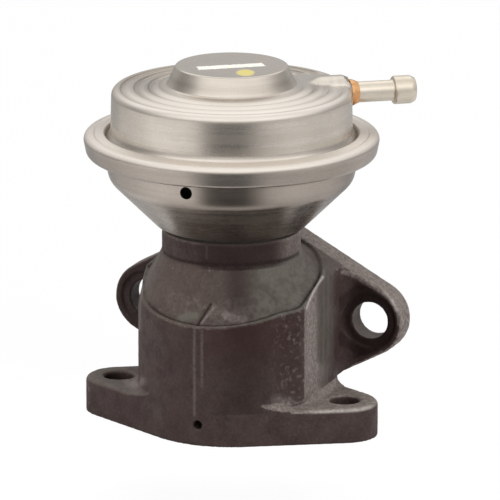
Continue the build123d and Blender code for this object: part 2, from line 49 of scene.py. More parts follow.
def smoothStep(value, low, high):
    t = np.clip((value - low) / (high - low), 0, 1)
    return t * t * (3 - 2 * t)


def bell(value, centre, width):
    return np.exp(-(((value - centre) / width) ** 2))


def within(value, low, high):
    return (value > low) & (value < high)


def fromCamera(x, y):
    # how far to the right of the camera's line, and how far towards the camera
    turn = radians(cameraSide)
    return x * cos(turn) + y * sin(turn), x * sin(turn) - y * cos(turn)


def bearingOf(x, y):
    # degrees to the right of the camera's side
    right, towards = fromCamera(x, y)
    return np.degrees(np.arctan2(right, towards))


def putInScene(obj):
    bpy.context.scene.collection.objects.link(obj)
    return obj


def meshPiece(name, verts, faces, material, body="housing", smoothAngle=35):
    mesh = bpy.data.meshes.new(name)
    mesh.from_pydata([tuple(v) for v in verts], [], faces)
    mesh.validate()
    mesh.update()
    return finishPiece(putInScene(bpy.data.objects.new(name, mesh)), material, body, smoothAngle)


def finishPiece(obj, material, body="housing", smoothAngle=35):
    obj.data.materials.clear()
    obj.data.materials.append(material)
    obj.data.polygons.foreach_set("use_smooth", [True] * len(obj.data.polygons))
    obj.data.set_sharp_from_angle(angle=radians(smoothAngle))
    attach(obj, body)
    return obj


def bentLine(points, radii, straightStep=0.6, arcStep=8):
    # a line through points (radius, height) in mm, with its corners rounded to the radii
    pts = [np.array(p, float) for p in points]
    line = [pts[0]]

    def runTo(end):
        start = line[-1]
        count = max(1, int(round(np.linalg.norm(end - start) / straightStep)))
        for i in range(1, count + 1):
            line.append(start + (end - start) * i / count)

    for i in range(1, len(pts) - 1):
        before = (pts[i] - pts[i - 1]) / np.linalg.norm(pts[i] - pts[i - 1])
        after = (pts[i + 1] - pts[i]) / np.linalg.norm(pts[i + 1] - pts[i])
        turn = atan2(before[0] * after[1] - before[1] * after[0], before @ after)
        radius = radii[i - 1]
        if radius < 1e-6 or abs(turn) < 1e-4:
            runTo(pts[i])
            continue
        reach = radius * tan(abs(turn) / 2)
        runTo(pts[i] - before * reach)
        side = 1 if turn > 0 else -1
        centre = line[-1] + np.array([-before[1], before[0]]) * side * radius
        u, v = line[-1] - centre
        steps = max(2, int(abs(turn) / radians(arcStep)))
        for s in range(1, steps + 1):
            a = turn * s / steps
            line.append(centre + np.array([u * cos(a) - v * sin(a), u * sin(a) + v * cos(a)]))
    runTo(pts[-1])
    return np.array(line)


def sheetLine(points, radii, wall, straightStep=0.6, liningStep=1.5):
    # the line of a sheet's skin, and of its lining, which lies a wall's thickness to the left
    pts = [np.array(p, float) for p in points]
    runs = [(b - a) / np.linalg.norm(b - a) for a, b in zip(pts[:-1], pts[1:])]
    lefts = [np.array([-r[1], r[0]]) for r in runs]
    lining = [pts[0] + lefts[0] * wall]
    liningRadii = []
    for i, radius in enumerate(radii):
        lining.append(pts[i + 1] + (lefts[i] + lefts[i + 1]) * wall / (1 + lefts[i] @ lefts[i + 1]))
        turnsLeft = runs[i][0] * runs[i + 1][1] - runs[i][1] * runs[i + 1][0] > 0
        liningRadii.append(max(radius - wall if turnsLeft else radius + wall, 0))
    lining.append(pts[-1] + lefts[-1] * wall)
    return bentLine(points, radii, straightStep), bentLine(lining, liningRadii, liningStep)


def turnedMesh(line, segments, closed=True):
    # line is (radius, height) in mm, and points on the axis become one vertex
    verts, rings = [], []
    for r, z in line:
        if r < 1e-6:
            rings.append([len(verts)])
            verts.append((0, 0, z * mm))
        else:
            rings.append(list(range(len(verts), len(verts) + segments)))
            for s in range(segments):
                a = 2 * pi * s / segments
                verts.append((r * cos(a) * mm, r * sin(a) * mm, z * mm))
    faces = []
    pairs = list(zip(range(len(rings) - 1), range(1, len(rings))))
    if closed:
        pairs.append((len(rings) - 1, 0))
    for i, j in pairs:
        a, b = rings[i], rings[j]
        if len(a) == 1 and len(b) == 1:
            continue
        for s in range(segments):
            t = (s + 1) % segments
            if len(a) == 1:
                faces.append((a[0], b[t], b[s]))
            elif len(b) == 1:
                faces.append((a[s], a[t], b[0]))
            else:
                faces.append((a[s], a[t], b[t], b[s]))
    return verts, faces


def outward(obj):
    bm = bmesh.new()
    bm.from_mesh(obj.data)
    bmesh.ops.recalc_face_normals(bm, faces=bm.faces)
    bm.to_mesh(obj.data)
    bm.free()


def newMaterial(name):
    mat = bpy.data.materials.new(name)
    mat.use_nodes = True
    tree = mat.node_tree
    return mat, tree, tree.nodes["Principled BSDF"]


def addNode(tree, kind, **values):
    # a value whose name starts with in_ goes to the node's input of that name
    node = tree.nodes.new(kind)
    for key, value in values.items():
        if key.startswith("in_"):
            node.inputs[key[3:].replace("_", " ")].default_value = value
        else:
            setattr(node, key, value)
    return node


def feed(node, name, value):
    value.id_data.links.new(value, node.inputs[name])


def maths(operation, a, b=None, clamp=False):
    # the node goes into the tree of the value it is given, and so it does in the functions below
    tree = (b if isinstance(a, (int, float)) else a).id_data
    node = addNode(tree, "ShaderNodeMath", operation=operation, use_clamp=clamp)
    for i, value in enumerate((a, b)):
        if value is None:
            continue
        if isinstance(value, (int, float)):
            node.inputs[i].default_value = value
        else:
            tree.links.new(value, node.inputs[i])
    return node.outputs[0]


def times(a, b, clamp=False):
    return maths("MULTIPLY", a, b, clamp)


def plus(a, b):
    return maths("ADD", a, b)


def minus(a, b, clamp=False):
    return maths("SUBTRACT", a, b, clamp)


def lengthOf(a, b):
    return maths("SQRT", plus(times(a, a), times(b, b)))


def partsOf(vector):
    parts = addNode(vector.id_data, "ShaderNodeSeparateXYZ")
    feed(parts, 0, vector)
    return parts.outputs


def painted(tree, name):
    return addNode(tree, "ShaderNodeAttribute", attribute_name=name).outputs["Fac"]


def cloud(vector, scale, detail=4, roughness=0.6, low=0.0, high=1.0, distortion=0.0):
    tex = addNode(
        vector.id_data, "ShaderNodeTexNoise", in_Scale=scale, in_Detail=detail, in_Roughness=roughness,
        in_Distortion=distortion,
    )
    feed(tex, "Vector", vector)
    if (low, high) == (0.0, 1.0):
        return tex.outputs["Fac"]
    return remap(tex.outputs["Fac"], low, high, 0, 1)


def remap(value, low, high, toLow, toHigh):
    node = addNode(
        value.id_data, "ShaderNodeMapRange", clamp=True, in_From_Min=low, in_From_Max=high, in_To_Min=toLow,
        in_To_Max=toHigh,
    )
    feed(node, "Value", value)
    return node.outputs["Result"]


def mixColour(factor, a, b):
    tree = factor.id_data
    node = addNode(tree, "ShaderNodeMix", data_type="RGBA")
    feed(node, "Factor", factor)
    for socket, value in ((node.inputs[6], a), (node.inputs[7], b)):
        if isinstance(value, tuple):
            socket.default_value = (*value, 1)
        else:
            tree.links.new(value, socket)
    return node.outputs[2]


def bump(height, strength, distance, under=None):
    node = addNode(height.id_data, "ShaderNodeBump", in_Strength=strength, in_Distance=distance)
    feed(node, "Height", height)
    if under:
        feed(node, "Normal", under)
    return node.outputs["Normal"]


def objectPoint(tree):
    return addNode(tree, "ShaderNodeTexCoord").outputs["Object"]


def turnedPoint(point, angleShare=0.0004):
    # (radius, height, a little of the angle), so that a texture runs in rings round the valve's axis
    x, y, z = partsOf(point)
    packed = addNode(point.id_data, "ShaderNodeCombineXYZ")
    feed(packed, 0, lengthOf(x, y))
    feed(packed, 1, z)
    feed(packed, 2, times(maths("ARCTAN2", y, x), angleShare))
    return packed.outputs[0]


def bearingNodes(x, y):
    # the same bearing as bearingOf gives
    c, s = cos(radians(cameraSide)), sin(radians(cameraSide))
    right = plus(times(x, c), times(y, s))
    towards = minus(times(x, s), times(y, c))
    return times(maths("ARCTAN2", right, towards), 180 / pi)


def metalMaterial(name, colour, roughness, grain=0.0, tint=None, rings=True, ringScale=2600, paintedShade=None):
    mat, tree, bsdf = newMaterial(name)
    point = objectPoint(tree)
    bsdf.inputs["Metallic"].default_value = 1.0
    blotch = cloud(point, 90, 5, 0.62, 0.35, 0.68)
    fine = cloud(point, 900, 4, 0.6, 0.3, 0.7)
    darker = tuple(c * 0.75 for c in colour)
    shade = mixColour(blotch, colour, tint or darker)
    shade = mixColour(times(fine, 0.25), shade, darker)
    # painted shade: the colour darkens in corners that the ambient occlusion node finds, out to the given reach
    if paintedShade:
        corner = addNode(tree, "ShaderNodeAmbientOcclusion", samples=6, in_Distance=paintedShade)
        cornerShade = remap(corner.outputs["AO"], 0.35, 0.8, 0.55, 0.0)
        shade = mixColour(cornerShade, shade, tuple(c * 0.35 for c in colour))
    feed(bsdf, "Base Color", shade)
    feed(bsdf, "Roughness", remap(blotch, 0, 1, roughness, roughness + 0.10))
    lines = cloud(turnedPoint(point) if rings else point, ringScale, 3, 0.7)
    normal = bump(lines, 0.22, 0.00003)
    normal = bump(fine, 0.10 + grain, 0.00005, normal)
    feed(bsdf, "Normal", normal)
    return mat


def spunSteel(name, values, paint=None):
    mat, tree, bsdf = newMaterial(name)
    point = objectPoint(tree)
    ringPoint = turnedPoint(point)
    bsdf.inputs["Metallic"].default_value = 1.0
    blotch = cloud(point, 70, 5, 0.6, 0.38, 0.66)
    speck = cloud(point, 1400, 3, 0.6, 0.62, 0.74)
    bands = cloud(ringPoint, 700, 3, 0.65, 0.3, 0.72)
    shade = mixColour(blotch, values["colour"], values["warmColour"])
    shade = mixColour(times(bands, 0.3), shade, values["bandColour"])
    shade = mixColour(times(speck, 0.35), shade, values["speckColour"])
    # painted shade: the colour darkens in corners that the ambient occlusion node finds
    corner = addNode(tree, "ShaderNodeAmbientOcclusion", samples=8, in_Distance=0.0025)
    cornerShade = remap(corner.outputs["AO"], 0.25, 0.7, values["cornerShade"], 0.0)
    shade = mixColour(cornerShade, shade, values["cornerShadeColour"])
    # painted dark reflections and shade, from the painted layer, darker on the can's grooves and the bowl's front
    patchy = times(painted(tree, "darkReflectionAndShade"), remap(blotch, 0, 1, 1.0, 0.75), clamp=True)
    shade = mixColour(patchy, shade, values["darkReflectionAndShadeColour"])
    # satin is rougher, and is also painted lighter as a painted highlight
    satinAndHighlight = painted(tree, "satinAndHighlight")
    shade = mixColour(times(satinAndHighlight, 0.85), shade, values["paintedHighlightColour"])
    rough = remap(bands, 0, 1, values["roughness"] - 0.04, values["roughness"] + 0.08)
    rough = plus(rough, times(satinAndHighlight, 0.26))
    rough = plus(rough, times(blotch, 0.05))
    if paint:
        barMask, dabMask = paintMasks(point, paint)
        shade = mixColour(barMask, shade, paint["barColour"])
        shade = mixColour(dabMask, shade, paint["dabColour"])
        either = maths("MAXIMUM", barMask, dabMask)
        rough = plus(rough, times(either, paint["roughness"]))
        feed(bsdf, "Metallic", minus(1.0, either))
    feed(bsdf, "Base Color", shade)
    feed(bsdf, "Roughness", rough)
    lines = cloud(ringPoint, 3200, 3, 0.75)
    wave = cloud(point, 45, 2, 0.4)
    normal = bump(wave, 0.35, 0.0004)
    normal = bump(lines, 0.30, 0.00003, normal)
    feed(bsdf, "Normal", normal)
    return mat


def paintMasks(point, paint):
    # a ragged bar and a ragged oval dab on the top disc
    x, y, z = partsOf(point)
    onTop = maths("GREATER_THAN", z, paint["above"])
    ragged = times(minus(cloud(point, 900, 3, 0.6), 0.5), paint["raggedness"])
    masks = []
    for place in ("bar", "dab"):
        cx, cy, angle, halfLong, halfWide = paint[place]
        c, s = cos(radians(angle)), sin(radians(angle))
        dx, dy = minus(x, cx), minus(y, cy)
        u = plus(times(dx, c), times(dy, s))
        v = minus(times(dy, c), times(dx, s))
        if place == "bar":
            sides = []
            for offset, half in ((u, halfLong), (v, halfWide)):
                far = plus(maths("ABSOLUTE", offset), ragged)
                sides.append(remap(far, half - 0.0003, half + 0.0002, 1, 0))
            mask = times(sides[0], sides[1])
        else:
            far = lengthOf(maths("DIVIDE", u, halfLong), maths("DIVIDE", v, halfWide))
            far = plus(far, times(ragged, paint["dabRaggedness"]))
            mask = remap(far, 0.8, 1.1, 1, 0)
        masks.append(times(mask, onTop))
    return masks


# Layers painted on the iron, among them painted shade, painted sheen and painted highlights along edges, with their
# colours and how much of each is left between the flecks
ironPaints = (
    ("red", "red", 0.8), ("pale", "light", 0.35), ("sheenAndGreenTint", "sheenAndGreenTint", 0.75), ("edgeHighlight", "edgeHighlightColour", 0.7), ("paintedShade", "dark", 0.8),
)


def castIron(name, values):
    mat, tree, bsdf = newMaterial(name)
    point = objectPoint(tree)
    large = cloud(point, 55, 4, 0.6, 0.36, 0.66, 0.4)
    middle = cloud(point, 260, 5, 0.65, 0.42, 0.66)
    grain = cloud(point, 1500, 4, 0.7, 0.45, 0.72)
    sand = cloud(point, 5200, 3, 0.7, 0.4, 0.8)
    shade = mixColour(large, values["brown"], values["grey"])
    shade = mixColour(times(middle, 0.4), shade, values["dark"])
    shape = addNode(tree, "ShaderNodeNewGeometry")
    # painted light: faces that point up are painted a lighter grey-green, as if lit from above
    facingUp = remap(partsOf(shape.outputs["Normal"])[2], 0.3, 0.9, 0, 1)
    shade = mixColour(times(facingUp, 0.6), shade, values["upLitGreyGreen"])
    shade = mixColour(times(grain, 0.07), shade, values["light"])
    shade = mixColour(times(sand, 0.04), shade, values["light"])
    flecks = remap(cloud(point, 1250, 5, 0.75), 0.42, 0.62, 0, 1)
    for paint, colour, least in ironPaints:
        ragged = times(painted(tree, paint), remap(flecks, 0, 1, least, 1.0), clamp=True)
        shade = mixColour(ragged, shade, values[colour])
    edge = remap(shape.outputs["Pointiness"], 0.54, 0.62, 0, 0.7)
    edge = times(edge, remap(middle, 0, 1, 0.8, 0.25))
    edge = times(edge, minus(1.0, painted(tree, "calm"), clamp=True))
    shade = mixColour(edge, shade, values["edge"])
    hollow = remap(shape.outputs["Pointiness"], 0.40, 0.485, 0.75, 0)
    shade = mixColour(hollow, shade, values["dark"])
    feed(bsdf, "Base Color", shade)
    bsdf.inputs["Specular IOR Level"].default_value = values["shine"]
    rough = remap(middle, 0, 1, values["roughness"], values["roughness"] + 0.14)
    feed(bsdf, "Roughness", rough)
    height = plus(grain, times(sand, 0.4))
    feed(bsdf, "Normal", bump(height, 0.5, 0.00010))
    return mat


def mattMaterial(name, colour, other, roughness, scale):
    mat, tree, bsdf = newMaterial(name)
    point = objectPoint(tree)
    patch = cloud(point, scale * 0.15, 4, 0.6, 0.35, 0.65)
    grain = cloud(point, scale, 4, 0.65)
    feed(bsdf, "Base Color", mixColour(patch, colour, other))
    feed(bsdf, "Roughness", remap(patch, 0, 1, roughness - 0.08, roughness + 0.08))
    feed(bsdf, "Normal", bump(grain, 0.5, 0.00006))
    return mat


steelShades = {
    "colour": (0.64, 0.585, 0.52), "warmColour": (0.59, 0.53, 0.465), "bandColour": (0.48, 0.43, 0.37),
    "speckColour": (0.38, 0.335, 0.28), "cornerShadeColour": (0.16, 0.135, 0.11), "darkReflectionAndShadeColour": (0.15, 0.12, 0.09),
    "paintedHighlightColour": (0.88, 0.82, 0.75), "cornerShade": 0.5, "roughness": 0.23,
}
bowlShades = {
    "colour": (0.56, 0.50, 0.45), "warmColour": (0.50, 0.44, 0.39), "bandColour": (0.40, 0.35, 0.30),
    "speckColour": (0.30, 0.26, 0.22), "cornerShadeColour": (0.12, 0.10, 0.08), "darkReflectionAndShadeColour": (0.105, 0.078, 0.058),
    "paintedHighlightColour": (0.88, 0.82, 0.75), "cornerShade": 0.5, "roughness": 0.24,
}
# The bar and the dab are (x, y, turn in degrees, half length, half width), in metres
topPaint = {
    "above": 0.0876, "raggedness": 0.0011, "dabRaggedness": 260, "roughness": 0.2,
    "bar": (0.0003, -0.00145, 35.5, 0.0081, 0.0017), "barColour": (0.90, 0.88, 0.80),
    "dab": (0.0059, -0.0062, 21.0, 0.0022, 0.0034), "dabColour": (0.66, 0.56, 0.17),
}
ironShades = {
    "brown": (0.047, 0.0275, 0.0255), "grey": (0.062, 0.0420, 0.0380), "dark": (0.016, 0.0080, 0.0073),
    "upLitGreyGreen": (0.110, 0.092, 0.076), "light": (0.300, 0.255, 0.232), "edge": (0.22, 0.185, 0.17),
    "sheenAndGreenTint": (0.150, 0.140, 0.118), "red": (0.062, 0.0240, 0.0190), "edgeHighlightColour": (0.62, 0.57, 0.53),
    "roughness": 0.50, "shine": 0.16,
}
canSteel = spunSteel("canSteel", steelShades, topPaint)
bowlSteel = spunSteel("bowlSteel", bowlShades)
ironSkin = castIron("castIronSkin", ironShades)
zincPlate = metalMaterial(
    "zincPlatedNipple", (0.78, 0.71, 0.61), 0.27, tint=(0.70, 0.62, 0.50), rings=False, ringScale=900,
)
brazeCopper = metalMaterial(
    "brazeCopper", (0.72, 0.36, 0.16), 0.34, grain=0.4, tint=(0.80, 0.52, 0.26), rings=False, ringScale=900,
)
innerSteel = metalMaterial("platedInnerSteel", (0.58, 0.55, 0.50), 0.32, paintedShade=0.003)
groundSteel = metalMaterial("groundStemSteel", (0.60, 0.59, 0.57), 0.22, paintedShade=0.003)
sootySteel = metalMaterial("sootyValveSteel", (0.30, 0.28, 0.26), 0.45, tint=(0.10, 0.09, 0.085), grain=0.3)
darkSteel = metalMaterial("blackedScrewSteel", (0.20, 0.19, 0.185), 0.40, rings=False, ringScale=1200)
springSteel = metalMaterial("springWire", (0.34, 0.33, 0.32), 0.33, rings=False, ringScale=1200)
sinteredIron = mattMaterial("sinteredBush", (0.16, 0.145, 0.13), (0.10, 0.09, 0.08), 0.5, 3000)
blackRubber = mattMaterial("diaphragmRubber", (0.018, 0.018, 0.018), (0.030, 0.029, 0.028), 0.62, 2600)
gasketFibre = mattMaterial("gasketFibre", (0.035, 0.031, 0.028), (0.060, 0.053, 0.046), 0.8, 2200)
print("materials made")

nodeMaterials = {
    "valve_seat": sootySteel, "pintle": sootySteel, "valve_stem": groundSteel, "guide_bush": sinteredIron,
    "gas_deflector": sootySteel, "stem_seal": blackRubber, "seal_retainer": innerSteel, "housing_gasket": gasketFibre,
    "clamp_plate": innerSteel, "housing_screws": darkSteel, "lower_plate": innerSteel,
    "upper_plate": innerSteel, "stem_washer": innerSteel, "stem_nut": darkSteel,
}
for nodeName, material in nodeMaterials.items():
    data = nodes[nodeName].data
    data.materials.clear()
    data.materials.append(material)
    data.polygons.foreach_set("use_smooth", [True] * len(data.polygons))
    data.set_sharp_from_angle(angle=radians(30))
print("inner pieces finished")


def applyModifiers(obj):
    graph = bpy.context.evaluated_depsgraph_get()
    graph.update()
    made = bpy.data.meshes.new_from_object(obj.evaluated_get(graph))
    obj.modifiers.clear()
    old = obj.data
    obj.data = made
    bpy.data.meshes.remove(old)


def meshArrays(mesh):
    # coordinates and normals of the vertices
    arrays = []
    for name in ("co", "normal"):
        arrays.append(np.empty(len(mesh.vertices) * 3))
        mesh.vertices.foreach_get(name, arrays[-1])
    return [array.reshape(-1, 3) for array in arrays]


def paintVertices(mesh, name, values):
    layer = mesh.attributes.new(name, "FLOAT", "POINT")
    layer.data.foreach_set("value", np.clip(values, 0, 1).astype(np.float32))


# What a patch can do along a measure: rise or fall between two values, peak, stay within, or follow a pattern
shapes = {
    "rise": smoothStep, "fall": lambda value, low, high: 1 - smoothStep(value, low, high), "peak": bell,
    "within": within, "pattern": lambda value: value,
}


def patchwork(patches, measures, zones):
    # adds up each paint's patches, which are (zone, amount, limits by shape and measure)
    layers = {}
    for paint, rows in patches.items():
        layers[paint] = 0
        for zone, amount, limits in rows:
            share = amount * zones[zone]
            for limit, numbers in limits.items():
                shape, measure = limit.split()
                share = share * shapes[shape](measures[measure], *numbers)
            layers[paint] = layers[paint] + share
    return layers


can = {
    "points": [
        (0, 88.05), (13.3, 88.05), (15.5, 83.55), (16.8, 83.25), (19.4, 82.35), (20.0, 82.95), (22.9, 82.1),
        (23.4, 82.75), (26.2, 82.0), (26.6, 82.5), (28.6, 82.4), (28.9, 70.3), (32.95, 70.3),
    ],
    "radii": [0.6, 0.7, 0.5, 0.2, 0.4, 0.2, 0.4, 0.2, 0.4, 1.8, 2.8], "wall": 1.3, "segments": 480,
    "plain": [
        (0, 88.05), (13.3, 88.05), (15.9, 82.9), (23.0, 82.75), (23.8, 82.45), (28.6, 82.45), (28.9, 70.3),
        (32.95, 70.3),
    ],
    "plainRadii": [0.6, 1.6, 0.5, 0.5, 1.9, 1.2],
    "crests": (18.3, 21.4, 24.8, 27.8), "crestWidth": 0.9, "grooves": (17.1, 19.8, 23.2, 26.45), "grooveWidth": 0.28,
    "nippleAngle": 35, "nippleZ": 79.7, "tunnelRadius": 4.4, "tunnelStart": 22.5, "tunnelEnd": 28.8,
    "tunnelCorner": 0.9, "tunnelBlend": 1.2, "tunnelRounds": 14,
}
# Painted dark reflections and shade, and satin with painted highlights on the crests, on the can, along radius and
# height in mm, and bearing and its size, the spread, in degrees
canPatches = {
    "darkReflectionAndShade": [
        ("top", 0.5, {"rise radius": (17.3, 18.3), "fall radius": (22.0, 23.4), "peak bearing": (-78, 20)}),
        ("top", 0.4, {"rise radius": (17.3, 18.3), "fall radius": (22.0, 23.4), "peak bearing": (82, 16)}),
        ("all", 0.28, {"fall spread": (60, 100), "peak z": (85.4, 0.8), "within radius": (-1, 16)}),
    ],
}
canPatches["darkReflectionAndShade"] += [("ridges", 0.60, {"peak radius": (place, can["grooveWidth"])}) for place in can["grooves"]]
canPatches["satinAndHighlight"] = [
    ("all", 0.75, {"peak radius": (place, can["crestWidth"]), "fall spread": (60, 110), "within z": (81, 99)})
    for place in can["crests"]
]


def profileDistance(line, points):
    # signed distance from (radius, height) points to the skin line, positive outside
    a = line[:-1]
    b = line[1:]
    ab = b - a
    best = np.full(len(points), 1e9)
    sign = np.ones(len(points))
    for i in range(len(a)):
        if ab[i] @ ab[i] < 1e-12:
            continue
        t = np.clip(((points - a[i]) @ ab[i]) / (ab[i] @ ab[i]), 0, 1)
        near = a[i] + t[:, None] * ab[i]
        gap = points - near
        d = np.linalg.norm(gap, axis=1)
        side = ab[i][0] * gap[:, 1] - ab[i][1] * gap[:, 0]
        closer = d < best
        best = np.where(closer, d, best)
        sign = np.where(closer, np.where(side > 0, 1.0, -1.0), sign)
    return best * sign


def alongTunnel(points):
    # how far along the tunnel's axis, and how far across it
    a = radians(can["nippleAngle"])
    x, y = points[:, 0], points[:, 1]
    return x * cos(a) + y * sin(a), y * cos(a) - x * sin(a)


def canField(points, skin):
    # distance to the can's skin, joined softly to the tunnel pressed out of it, all in mm
    rz = np.stack([np.hypot(points[:, 0], points[:, 1]), points[:, 2]], axis=1)
    shell = profileDistance(skin, rz)
    along, across = alongTunnel(points)
    ring = np.hypot(across, points[:, 2] - can["nippleZ"])
    x = along - can["tunnelStart"]
    length = can["tunnelEnd"] - can["tunnelStart"]
    corner = can["tunnelCorner"]
    du = ring - (can["tunnelRadius"] - corner)
    dv = x - (length - corner)
    capped = np.minimum(np.maximum(du, dv), 0) + np.hypot(np.maximum(du, 0), np.maximum(dv, 0)) - corner
    ball = np.sqrt(x ** 2 + ring ** 2) - can["tunnelRadius"]
    tunnel = np.where(x < 0, ball, capped)
    k = can["tunnelBlend"]
    h = np.clip(0.5 + 0.5 * (tunnel - shell) / k, 0, 1)
    return tunnel * (1 - h) + shell * h - k * h * (1 - h)


def tunnelShare(coords):
    # 1 beside the tunnel, where the skin has no ridges, falling to 0 away from it
    along, across = alongTunnel(coords)
    return smoothStep(along, 14, 18) * (1 - smoothStep(np.abs(across), 5.6, 13))


def pressTunnel(coords, skin, count, reach=0.02, pace=0.8):
    # pulls the outer skin's vertices near the nipple out onto the tunnel
    share = tunnelShare(coords)
    near = (share > 0) & (coords[:, 2] > 72)
    near[count:] = False
    picked = np.where(near)[0]
    p = coords[picked].copy()
    for step in range(can["tunnelRounds"]):
        f = canField(p, skin)
        slopes = [(canField(p + e, skin) - canField(p - e, skin)) / (2 * reach) for e in np.eye(3) * reach]
        grad = np.stack(slopes, axis=1)
        size = np.maximum((grad ** 2).sum(1), 0.25)
        p -= (f / size)[:, None] * grad * pace
    coords[picked] += (p - coords[picked]) * share[picked, None]
    return coords


# The lining follows the plain pressing, and the skin has the fine ridges that the spinning left
lining = sheetLine(can["plain"], can["plainRadii"], -can["wall"], 0.45)[1]
skin = bentLine(can["points"], can["radii"], 0.45)
verts, faces = turnedMesh(np.concatenate([skin, lining[::-1]]), can["segments"], closed=False)
coords = np.array(verts) / mm
skinCount = 1 + (len(skin) - 1) * can["segments"]
coords = pressTunnel(coords, bentLine(can["plain"], can["plainRadii"], 0.45), skinCount)
canShell = meshPiece("canShell", coords * mm, faces, canSteel, smoothAngle=40)
outward(canShell)
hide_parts("upper_housing")
x, y, z = coords.T
bearing = bearingOf(x, y)
measures = {"radius": np.hypot(x, y), "z": z, "bearing": bearing, "spread": np.abs(bearing)}
zones = {"all": 1, "top": z > 81.5, "ridges": (z > 81.5) * (1 - tunnelShare(coords))}
for paint, values in patchwork(canPatches, measures, zones).items():
    paintVertices(canShell.data, paint, values)
print("can spun:", len(verts))

bowl = {
    "points": [
        (7.0, 49.2), (17.7, 49.2), (29.6, 61.0), (29.6, 66.3), (34.5, 66.3), (35.5, 71.35), (33.0, 71.75), (32.6, 71.5),
        (30.3, 71.95), (30.2, 70.9),
    ],
    "radii": [1.6, 5.0, 1.4, 1.6, 1.5, 0.5, 0.25, 0.45], "wall": 1.3, "rimTop": (35.5, 71.6), "rimInner": (30.2, 71.6),
    "segments": 480, "ventRadius": 1.5, "ventZ": 63.7, "ventAngle": -90, "ventAt": 29.0, "ventDepth": 6,
}
# Painted dark reflections and shade on the cone, the wall above it and the side of the lip, and satin with a painted
# highlight on the lip's crown
bowlPatches = {
    "darkReflectionAndShade": [
        ("body", 0.58, {"rise bearing": (-44, -26), "fall z": (60.2, 61.8)}),
        ("body", -0.203, {"rise bearing": (22, 38), "fall z": (60.2, 61.8), "fall bearing": (48, 66)}),
        ("body", -0.348, {"rise bearing": (95, 135), "fall z": (60.2, 61.8)}),
        ("body", 0.28, {"rise z": (60.5, 61.5), "fall z": (65.2, 66.4)}),
        ("body", 0.42, {
            "rise z": (60.5, 61.5), "rise bearing": (-20, -9), "fall z": (65.2, 66.4), "fall bearing": (6, 22),
        }),
        ("body", 0.45, {
            "rise z": (55, 58), "rise bearing": (46, 68), "fall bearing": (95, 135), "within z": (-1, 66.4),
        }),
        ("lip", 0.4, {"rise z": (66.0, 67.5), "fall z": (69.6, 70.8)}),
        ("lip", -0.4, {"rise z": (66.0, 67.5), "fall z": (69.6, 70.8), "peak bearing": (0, 16)}),
    ],
    "satinAndHighlight": [
        ("all", 0.55, {"rise z": (70.3, 71.0), "rise radius": (29.8, 30.4)}),
        ("all", 0.45, {"rise z": (70.3, 71.0), "rise radius": (29.8, 30.4), "fall spread": (60, 110)}),
    ],
}
# The lining follows a plain lip, and the skin has the roll's soft crown and rounded inner edge
lip = bowl["points"][:5] + [bowl["rimTop"], bowl["rimInner"]]
lining = sheetLine(lip, bowl["radii"][:5], bowl["wall"], 0.6)[1]
skin = bentLine(bowl["points"], bowl["radii"], 0.5)
verts, faces = turnedMesh(np.concatenate([skin, lining[::-1]]), bowl["segments"])
bowlShell = meshPiece("bowlShell", verts, faces, bowlSteel, smoothAngle=40)
outward(bowlShell)


def cylinderTool(radius, length, place, direction, segments=48):
    bm = bmesh.new()
    bmesh.ops.create_cone(bm, cap_ends=True, segments=segments, radius1=radius, radius2=radius, depth=length)
    mesh = bpy.data.meshes.new("tool")
    turn = Vector(direction).to_track_quat("Z", "Y").to_matrix().to_4x4()
    bm.transform(Matrix.Translation(Vector(place)) @ turn)
    bm.to_mesh(mesh)
    bm.free()
    return putInScene(bpy.data.objects.new("tool", mesh))


def cutWith(obj, tool):
    cut = obj.modifiers.new("cut", "BOOLEAN")
    cut.operation = "DIFFERENCE"
    cut.solver = "EXACT"
    cut.object = tool
    applyModifiers(obj)
    bpy.data.objects.remove(tool)


direction = (cos(radians(bowl["ventAngle"])), sin(radians(bowl["ventAngle"])), 0)
place = [bowl["ventAt"] * mm * direction[0], bowl["ventAt"] * mm * direction[1], bowl["ventZ"] * mm]
cutWith(bowlShell, cylinderTool(bowl["ventRadius"] * mm, bowl["ventDepth"] * mm, place, direction))
bowlShell.data.set_sharp_from_angle(angle=radians(40))
x, y, z = (meshArrays(bowlShell.data)[0] / mm).T
radius, bearing = np.hypot(x, y), bearingOf(x, y)
measures = {"radius": radius, "z": z, "bearing": bearing, "spread": np.abs(bearing)}
zones = {"all": 1, "body": radius < 31, "lip": radius > 33}
for paint, values in patchwork(bowlPatches, measures, zones).items():
    paintVertices(bowlShell.data, paint, values)
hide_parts("lower_housing")
print("bowl spun")

nipple = {
    "angle": can["nippleAngle"], "z": can["nippleZ"], "inner": 24.0, "bore": 1.4, "radius": 2.5, "barbStart": 39.6,
    "barbRadius": 3.4, "barbLand": 4.2, "tip": 45.0, "tipRadius": 2.8, "segments": 96,
}
n = nipple
outline = [
    (n["bore"], n["inner"]), (n["bore"], n["tip"]), (n["tipRadius"], n["tip"]),
    (n["barbRadius"], n["barbStart"] + n["barbLand"]), (n["barbRadius"], n["barbStart"]), (n["radius"], n["barbStart"]),
    (n["radius"], n["inner"]), (n["bore"], n["inner"]),
]
line = bentLine(outline, [0.25, 0.5, 0.9, 0.5, 0.3, 0.2], 0.8)
verts, faces = turnedMesh(line[:-1], n["segments"])
nippleTurned = meshPiece("nippleTurned", verts, faces, zincPlate)
sideways = Matrix.Rotation(radians(n["angle"]), 4, "Z") @ Matrix.Rotation(radians(90), 4, "Y")
nippleTurned.data.transform(Matrix.Translation((0, 0, n["z"] * mm)) @ sideways)
outward(nippleTurned)
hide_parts("vacuum_nipple")

